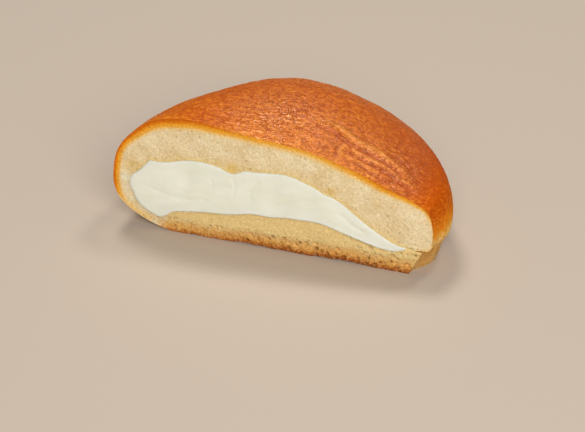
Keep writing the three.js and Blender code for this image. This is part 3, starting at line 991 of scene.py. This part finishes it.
def describe_cut(own, points, crumb, rim, hole):
    """Sets what the cut's relief and colours need, at its own points (crumb) and at the skin's edge (rim)."""
    x = points[crumb, 0]
    z = points[crumb, 2]
    rim_x = points[rim, 0]
    rim_z = points[rim, 2]
    to_skin, which = nearest(points[crumb], flat(points[rim][:, [0, 2]]))
    to_cream, _ = nearest(points[crumb], flat(hole))
    under_cream = z < seam_height(x, 0)
    over_base = z - base_lift(x)

    # The golden band between crust and crumb: how orange it starts, and how far in it goes.
    skin_x = rim_x[which]
    skin_z = rim_z[which]
    first = np.interp(skin_x, RIND_PLACES, RIND_STARTS)
    reach = np.interp(skin_x, RIND_PLACES, RIND_REACHES)
    for side, low_first, low_reach, fade in LOW_RINDS:
        pale = smooth(*fade, skin_z) * (side * skin_x > RIND_SIDES)
        first = mix(first, low_first, pale)
        reach = mix(reach, low_reach, pale)
    own["rind"][crumb] = np.where(skin_z < BASE_EDGE_HEIGHT, NO_RIND, first + to_skin / reach * (1 - first))
    rim_first = np.interp(rim_x, RIND_PLACES, RIND_STARTS)
    own["rind"][rim] = np.where(rim_z < LOW_RIM_HEIGHT, LOW_RIM_RIND, rim_first)
    own["rind"][rim[(rim_z < 4) & (np.abs(rim_x) < 47)]] = NO_RIND

    # The layer under the cream: yellower, and toasted from the base up.
    own["lower"][crumb] = under_cream * (1 - smooth(*HINGE_FADE, x))
    own["lower"][rim] = (rim_z < 5) * smooth(*HINGE_FADE[::-1], rim_x)
    own["rise"][crumb] = np.clip(over_base / TOASTED_REACH + 0.1 * smooth(*PALER_BASE, x), 0, 1)
    own["rise"][rim] = 0.06 * smooth(*PALER_BASE, rim_x)
    near_base = np.exp(-((over_base / CRAGGY_REACH) ** 2)) * under_cream

    # Crumb that the cream wetted: a thin line over it, and the patches where it soaked in.
    line_over = 0.9 * np.exp(-to_cream / 0.9) * ~under_cream
    own["moist"][crumb] = np.maximum(line_over, stained(SOAKED, x, z))
    own["film"][crumb] = stained(SMEARED, x, z)

    # Pores everywhere but at the edges, few in the dense crumb under the cream, and pits near the base.
    edge_fade = smooth(0.1, 0.7, to_skin) * smooth(0.05, 0.5, to_cream)
    own["pored"][crumb] = edge_fade * (1 - 0.75 * under_cream * smooth(4.8, 6.4, z))
    pits_top = mix(5.6, 7.6, smooth(8, 34, x))
    own["coarse"][crumb] = edge_fade * under_cream * smooth(0.8, -0.8, z - pits_top) * smooth(-39, -33, x)
    own["flecks"][crumb] = edge_fade * (0.12 + 0.6 * near_base)

    # The cut's slow waves, its slightly rolled edge, and the slit's line from the filling's tip to the wall.
    wave = ripple(points[crumb], 9, 8) * 0.14 - 0.18
    rolled = 0.3 * np.exp(-((to_skin / 0.5) ** 2))
    to_slit, _ = nearest(points[crumb], flat(even_curve([CREAM_TIP, *SLIT_END], 0.1)))
    cleft = 1.6 * np.exp(-((to_slit / 0.28) ** 2))
    craggy = near_base * ripple(points[crumb], 2.4, 19) * 0.3 * smooth(0, 0.5, to_skin)
    own["form"][crumb] = wave * smooth(0, 1.2, to_skin) * smooth(0, 0.8, to_cream) - rolled - cleft + craggy


def describe_skin(own, points, angles, kinds):
    """Sets what the skin's relief and colours need: its forms, how baked it is, how thick the egg lies."""
    skin = slice(0, len(angles))
    x, y, height = points[skin].T
    hinge = (1 - np.cos(angles)) / 2
    slit_side = slit_strength(angles)
    on_base = kinds == "base"
    on_crown = kinds == "crown"
    at_slit = kinds == "slit"
    under_slit = (at_slit | (kinds == "low")) & (slit_side > 0.5)

    # Folds on the dome, upright pleats in the lower wall, and slow dents.
    folds = np.zeros(len(angles))
    folds[on_crown] = fold_heights(points[skin][on_crown]) * smooth(0, 1.2, y[on_crown])
    arc = angles * np.hypot(x, y)
    pleat = ripple(np.c_[arc, height * 0.25, np.zeros(len(arc))], 2.6, 12)
    pleated = ~on_crown * ~on_base * smooth(0.4, 2.5, height) * smooth(14, 8, height) * slit_side
    dents = ripple(points[skin], 16, 31, 2) * DENT_DEPTH * smooth(6, 20, height) * smooth(0, 5, y)
    own["form"][skin] += folds + dents + pleat * PLEAT_DEPTH * pleated * smooth(0, 1.2, y)

    # Browned on top and pale low down, and paler next to the cut, most at the hinge and at its very edge. The
    # paler strip along the front from the middle on is partly its own colour and partly a painted sheen.
    tone = mix(smooth(4, 25, height), smooth(5, 20, height), hinge)
    near_cut = np.exp(-y / 3.2) * smooth(-22, -44, x) + 0.45 * np.exp(-y / 7) * smooth(-24, -8, x)
    bake = 0.04 + 0.8 * tone - 0.26 * near_cut - 0.12 * np.exp(-y / 0.7)
    # The folds' backs are painted paler, a painted sheen, and the grooves beside them darker, a painted
    # shade.
    bake -= np.where(folds > 0, 0.3, 0.75) * np.clip(folds, -1, 1)
    # The shoulder over the mouth is browner, and the wall behind it is painted golden, a painted rim light.
    bake += 0.16 * smooth(26, 48, x) * smooth(10, 22, height)
    bake -= 0.16 * smooth(52, 57, x) * smooth(3, 12, y)
    # Under the slit the pleats' hollows are darker and their crests paler, in the baked tone and in the pale
    # wall's share: painted shade.
    bake = np.where(under_slit, np.minimum(bake, 0.2) - 0.16 * pleat, bake)
    bake = np.where(on_base, BASE_BAKE, bake)
    own["bake"][skin] = np.maximum(bake, 0.85 * smooth(1.3, 0.5, height) * (1 - slit_side))
    own["steamed_and_pleat_shade"][skin] = under_slit * np.clip(0.72 - 0.25 * pleat, 0, 1)

    # The egg is thick on the dome's front and the folds' backs, and thin at both ends and towards the back.
    # Where it is thick, glints are also painted into the colour.
    wash_and_sheen = smooth(20, 31, height) * mix(0.4, 1, smooth(32, 8, y)) * mix(0.12, 1, smooth(-32, 2, x))
    own["wash_and_sheen"][skin] = wash_and_sheen * mix(0.05, 1, smooth(54, 41, x)) * (1 + 2.2 * np.clip(folds, 0, 0.8))

    # Fine wrinkles, drawn out along the cut on the dome and upright on the wall.
    crust = mix(0.5, 1, smooth(5, 20, height)) * np.where(on_base, 0.7, 1) * np.where(at_slit, 0.15, 1)
    own["crust"][skin] = crust * smooth(0, 0.8, y + np.where(on_crown, 0.25, 0))
    on_dome = np.c_[x * mix(0.35, 0.6, smooth(3, 16, y)), y, height]
    on_wall = np.c_[arc, np.zeros(len(arc)), height * 0.3]
    own["grain"][skin] = mix(on_dome, on_wall, (smooth(24, 16, height) * ~on_base)[:, None]) * MM


def build_bread():
    """The bread as one closed mesh: skin, cut face and the filling's room, with what the relief needs."""
    rows = skin_rows()
    skin = np.vstack([row for row, _, _ in rows])
    angles = np.concatenate([turns for _, turns, _ in rows])
    kinds = np.concatenate([[kind] * len(row) for row, _, kind in rows])
    starts = np.cumsum([0] + [len(row) for row, _, _ in rows])
    stitched = []
    for i in range(len(rows) - 1):
        stitched += stitch(starts[i], len(rows[i][0]) - 1, starts[i + 1], len(rows[i + 1][0]) - 1)
    skin_faces = np.array([face for face in stitched if len(set(face)) == 3])

    # Round the cut face, down the mouth's side and back up the hinge's.
    mouth_side = starts[:-1]
    hinge_side = starts[2:-1] - 1
    rim = np.concatenate([mouth_side, hinge_side[::-1]])
    hole = cream_outline(EDGE_STEP)
    hole = hole + (ripple(flat(hole), 2.6, 5) * HOLE_WAVE)[:, None] * unit(hole - hole.mean(0))
    spots, cut_faces = fill([skin[rim][:, [0, 2]], hole], True, CRUMB_STEP, 0.6 * CRUMB_STEP, 21)
    cut = flat(spots[len(rim):])
    cut_faces = np.concatenate([rim, len(skin) + np.arange(len(cut))])[cut_faces]

    # The room behind the cut.
    crumb = slice(len(skin), len(skin) + len(cut))
    room, room_faces = filling_back(hole, crumb.start, crumb.stop, CREAM_DEPTH)
    points = np.vstack([skin, cut, room])
    skin_faces = turned_to(points, skin_faces, points[skin_faces[:, 0]] - BREAD_HEART)
    cut_faces = turned_to(points, cut_faces, (0, -1, 0))
    room_faces = turned_to(points, room_faces, -from_slit(points[room_faces[:, 0]]))

    scalars = (
        "form", "crust", "bake", "wash_and_sheen", "steamed_and_pleat_shade", "pored", "coarse", "moist", "film", "lower", "flecks",
    )
    own = {key: np.zeros(len(points)) for key in scalars}
    own["rind"] = np.full(len(points), NO_RIND)
    own["rise"] = np.ones(len(points))
    own["grain"] = np.zeros(points.shape)
    own["push"] = np.zeros(points.shape)
    outwards = corner_normals(skin, skin_faces)
    outwards[np.isclose(skin[:, 1], 0), 1] = 0
    own["push"][: len(skin)] = unit(outwards)
    own["push"][crumb, 1] = -1
    describe_cut(own, points, crumb, rim, hole)
    describe_skin(own, points, angles, kinds)
    own["form"] *= MM

    groups = np.repeat([0, 1, 2], [len(skin_faces), len(cut_faces), len(room_faces)])
    mesh = new_mesh(
        "bread_raw", points, np.vstack([skin_faces, cut_faces, room_faces]), own, {"is_crumb": groups > 0},
    )
    sharpen(mesh, groups)
    return mesh


def build_cream():
    """The filling as one closed mesh: a soft bulging cut face with the knife's marks, and its hidden back."""
    outline = grown(cream_outline(EDGE_STEP), CREAM_OVERLAP)
    spots, faces = fill([outline], False, CREAM_STEP, 0.6 * CREAM_STEP, 22)
    front = flat(spots)
    away, which = nearest(front, flat(outline))
    x, _, z = front.T
    edge_x, edge_z = outline[which].T
    # It stands a little proud of the crumb, most along its lower edge, where the knife pushed it.
    lower_edge = smooth(0.5, -0.5, edge_z - seam_height(edge_x, 0)) * smooth(-44, -34, edge_x)
    bulge = 0.42 * (1 - np.exp(-away / 0.3)) - 0.22
    lip = lower_edge * 0.22 * np.exp(-(((away - 0.6) / 0.5) ** 2))
    smears = ripple(np.c_[x * 0.4, np.zeros(len(x)), z], 4.2, 41) * 0.12 + ripple(front, 13, 42, 2) * 0.14
    marks = np.zeros(len(x))
    for corners, depth, width in CREAM_MARKS:
        to_mark, _ = nearest(front, flat(even_curve(corners, 0.2)))
        marks -= depth * np.exp(-((to_mark / width) ** 2))
    front[:, 1] = -(bulge + lip + (smears + marks) * (1 - np.exp(-away / 0.9)))
    back, sides = filling_back(outline, 0, len(front), CREAM_DEPTH - CREAM_END_GAP)
    points = np.vstack([front, back])
    faces = turned_to(points, faces, (0, -1, 0))
    sides = turned_to(points, sides, from_slit(points[sides[:, 0]]))
    return new_mesh("cream_body", points, np.vstack([faces, sides]))


def place_piece(name, mesh, node=None):
    """Links a finished mesh into the scene as a piece that rides on the bun."""
    mesh.name = name
    piece = bpy.data.objects.new(name, mesh)
    bpy.context.scene.collection.objects.link(piece)
    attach(piece, "root")
    if node:
        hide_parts(node)
    return piece


def colour_setting(name, description, code):
    """A colour that a user can change, from its hex code."""
    return bpy.props.FloatVectorProperty(
        name=name, description=description, default=linear(code), size=4, subtype="COLOR", min=0, max=1,
    )


def number_setting(name, description, value, unit="NONE"):
    """A number from 0 up that a user can change."""
    return bpy.props.FloatProperty(name=name, description=description, default=value, min=0, unit=unit)


class BreadSettings(bpy.types.PropertyGroup):
    """Sizes and colours of the bread."""

    wrinkle_height: number_setting(
        "Wrinkle height", "How high the crust's fine wrinkles stand", 0.17 * MM, "LENGTH",
    )
    pore_depth: number_setting("Pore depth", "How deep the crumb's pores are", 0.35 * MM, "LENGTH")
    pit_depth: number_setting("Pit depth", "How deep the coarse pits over the base are", 0.95 * MM, "LENGTH")
    pale: colour_setting("Pale wall", "Crust that the oven hardly browned", "#E8CC94")
    straw: colour_setting("Straw", "The wall above it", "#E6B864")
    golden: colour_setting("Golden", "Lightly browned crust", "#E29428")
    amber: colour_setting("Amber", "Browned crust", "#DC7C18")
    brown: colour_setting("Brown", "Well browned crust", "#CC6610")
    dark: colour_setting("Dark", "The darkest crust", "#B44C08")
    # Partly dried egg, partly a painted glint on the wrinkles' backs.
    dried_egg_and_glint: colour_setting("Dried egg and glint", "Dried egg and painted glints on the wrinkles' backs", "#EA9A5E")
    crumb: colour_setting("Crumb", "Dry crumb", "#F4E1B8")
    crumb_shade: colour_setting("Crumb shade", "Denser crumb", "#E4C892")
    lower: colour_setting("Lower crumb", "Pressed crumb under the cream", "#EACB88")
    lower_shade: colour_setting("Lower shade", "The crumb below it", "#DDB26C")
    lower_gold: colour_setting("Lower gold", "Golden crumb over the base", "#E0A654")
    toasted_pale: colour_setting("Lightly toasted", "Crumb close to the base", "#D09040")
    toasted: colour_setting("Toasted", "Crumb next to the base", "#B0641A")
    base_edge: colour_setting("Base edge", "The baked base, seen at the cut", "#84440A")
    low_wall: colour_setting("Low wall", "The pale wrinkled wall under the slit", "#C0863A")
    film: colour_setting("Cream film", "Cream smeared thinly over the crumb", "#EADFC0")
    moist: colour_setting("Moist crumb", "Crumb wetted by cream", "#E2BE6C")
    rind_outer: colour_setting("Rind outside", "The crust's cut edge", "#CE6602")
    rind_orange: colour_setting("Rind orange", "Just inside it", "#DE7C06")
    rind_middle: colour_setting("Rind middle", "The middle of the golden band", "#EE9E22")
    rind_gold: colour_setting("Rind gold", "Its inner half", "#F0AE3E")
    rind_inner: colour_setting("Rind inside", "Where it ends", "#F3CA80")
    # The colours inside pores and pits are painted shade.
    hollow: colour_setting("Hollow shade", "Painted shade inside pores", "#BC8C4C")
    pit_shade: colour_setting("Pit", "Painted shade inside the pits over the base", "#64380C")


class CreamSettings(bpy.types.PropertyGroup):
    """Colours of the filling."""

    tint: colour_setting("Tint", "The cream's colour", "#EBEBDC")
    shade: colour_setting("Shade", "The cream's darker colour", "#E5E5D2")


class StageSettings(bpy.types.PropertyGroup):
    """The floor and the lights."""

    floor: colour_setting("Floor", "The floor's colour", "#BBAB9A")
    left_power: number_setting("Left light", "Power of the softbox overhead on the left", 5.3, "POWER")
    right_power: number_setting("Right light", "Power of the softbox overhead on the right", 2.3, "POWER")
    fill_power: number_setting("Fill light", "Power of the large light in front", 14.2, "POWER")
    ambient: number_setting("Ambient", "Strength of the even light from everywhere", 0.17)


class CREAM_BUN_OT_bread(bpy.types.Operator):
    """Make the bread, with its crust and crumb"""

    bl_idname = "cream_bun.bread"
    bl_label = "Bread"

    def execute(self, context):
        settings = context.scene.bun_bread
        sizes = {
            "Wrinkle length": 1.2 * MM, "Wrinkle height": settings.wrinkle_height,
            "Peel length": 1.0 * MM, "Peel height": 0.06 * MM,
            "Blister spacing": 3.0 * MM, "Blister height": 0.1 * MM,
            "Pore spacing": 1.3 * MM, "Pore depth": settings.pore_depth,
            "Pit spacing": 1.8 * MM, "Pit depth": settings.pit_depth,
            "Tear height": 0.3 * MM, "Seed": 3,
        }
        tree = relief_tree(sizes, egg_washed_crust(settings), soft_wheat_crumb(settings))
        mesh = shaped(build_bread(), tree, sizes)
        place_piece("bread_half", mesh, "bread")
        return {"FINISHED"}


class CREAM_BUN_OT_cream(bpy.types.Operator):
    """Make the whipped cream filling"""

    bl_idname = "cream_bun.cream"
    bl_label = "Cream"

    def execute(self, context):
        mesh = build_cream()
        mesh.materials.append(whipped_cream(context.scene.bun_cream))
        place_piece("cream_filling", mesh, "cream")
        return {"FINISHED"}


class CREAM_BUN_OT_flecks(bpy.types.Operator):
    """Scatter the torn flecks that the knife left on the crumb"""

    bl_idname = "cream_bun.flecks"
    bl_label = "Crumb flecks"

    def execute(self, context):
        bread = bpy.data.objects.get("bread_half")
        if bread is None:
            raise RuntimeError("the flecks lie on the bread, so make the bread first")
        sizes = {"Fleck size": 0.3 * MM, "Spacing": 1.1 * MM, "Density": 400000.0, "Seed": 11}
        tree = fleck_tree(sizes, bread.data.materials["soft_wheat_crumb"])
        mesh = shaped(bread.data.copy(), tree, sizes)
        place_piece("crumb_flecks", mesh)
        return {"FINISHED"}


def aim(place, target):
    return (Vector(target) - Vector(place)).to_track_quat("-Z", "Y")


def add_light(name, place, size, power):
    """Adds a white softbox that looks at the bun."""
    light = bpy.data.lights.new(name, "AREA")
    light.shape = "RECTANGLE"
    light.size, light.size_y = size
    light.energy = power
    lamp = bpy.data.objects.new(name, light)
    lamp.location = place
    lamp.rotation_euler = aim(place, LIGHT_TARGET).to_euler()
    bpy.context.scene.collection.objects.link(lamp)


class CREAM_BUN_OT_stage(bpy.types.Operator):
    """Make the floor, the lights and the camera"""

    bl_idname = "cream_bun.stage"
    bl_label = "Studio"

    def execute(self, context):
        scene = context.scene
        settings = scene.bun_stage
        mesh = bpy.data.meshes.new("floor")
        corners = [(x * FLOOR_REACH, y * FLOOR_REACH, 0) for x, y in ((-1, -1), (1, -1), (1, 1), (-1, 1))]
        mesh.from_pydata(corners, [], [(0, 1, 2, 3)])
        mesh.materials.append(matt_card(settings))
        floor = bpy.data.objects.new("floor", mesh)
        scene.collection.objects.link(floor)
        add_light("overhead_left", (-0.28, 0.34, 1.0), (0.3, 0.24), settings.left_power)
        add_light("overhead_right", (0.3, 0.4, 0.95), (0.2, 0.15), settings.right_power)
        add_light("fill", (0.46, -0.92, 0.72), (1.0, 0.6), settings.fill_power)
        world = bpy.data.worlds.new("studio")
        scene.world = world
        world.use_nodes = True
        background = world.node_tree.nodes["Background"]
        background.inputs["Color"].default_value = (1, 1, 1, 1)
        background.inputs["Strength"].default_value = settings.ambient
        camera = bpy.data.cameras.new("camera")
        camera.sensor_width = CAMERA_SENSOR
        camera.lens = CAMERA_LENS
        camera.clip_start = 0.01
        viewer = bpy.data.objects.new("camera", camera)
        place = Vector(CAMERA_PLACE) * MM
        turn = aim(place, Vector(CAMERA_TARGET) * MM) @ Euler((0, 0, CAMERA_ROLL)).to_quaternion()
        viewer.location = place
        viewer.rotation_euler = turn.to_euler()
        scene.collection.objects.link(viewer)
        scene.camera = viewer
        scene.view_settings.view_transform = "Standard"
        return {"FINISHED"}


class CREAM_BUN_PT_panel(bpy.types.Panel):
    """Lists the bun's sizes and colours, and makes its pieces"""

    bl_idname = "CREAM_BUN_PT_panel"
    bl_label = "Half cream bun"
    bl_space_type = "VIEW_3D"
    bl_region_type = "UI"
    bl_category = "Cream bun"

    def draw(self, context):
        for group, makers in (
            (context.scene.bun_bread, (CREAM_BUN_OT_bread, CREAM_BUN_OT_flecks)),
            (context.scene.bun_cream, (CREAM_BUN_OT_cream,)),
            (context.scene.bun_stage, (CREAM_BUN_OT_stage,)),
        ):
            box = self.layout.box()
            for key in group.__annotations__:
                box.prop(group, key)
            for maker in makers:
                box.operator(maker.bl_idname)


CLASSES = (
    BreadSettings, CreamSettings, StageSettings, CREAM_BUN_OT_bread, CREAM_BUN_OT_cream, CREAM_BUN_OT_flecks,
    CREAM_BUN_OT_stage, CREAM_BUN_PT_panel,
)


def register():
    for item in CLASSES:
        bpy.utils.register_class(item)
    bpy.types.Scene.bun_bread = bpy.props.PointerProperty(type=BreadSettings)
    bpy.types.Scene.bun_cream = bpy.props.PointerProperty(type=CreamSettings)
    bpy.types.Scene.bun_stage = bpy.props.PointerProperty(type=StageSettings)


def unregister():
    del bpy.types.Scene.bun_bread, bpy.types.Scene.bun_cream, bpy.types.Scene.bun_stage
    for item in reversed(CLASSES):
        bpy.utils.unregister_class(item)


def main():
    register()
    bpy.ops.cream_bun.bread()
    bpy.ops.cream_bun.cream()
    bpy.ops.cream_bun.flecks()
    bpy.ops.cream_bun.stage()


if __name__ == "__main__":
    main()
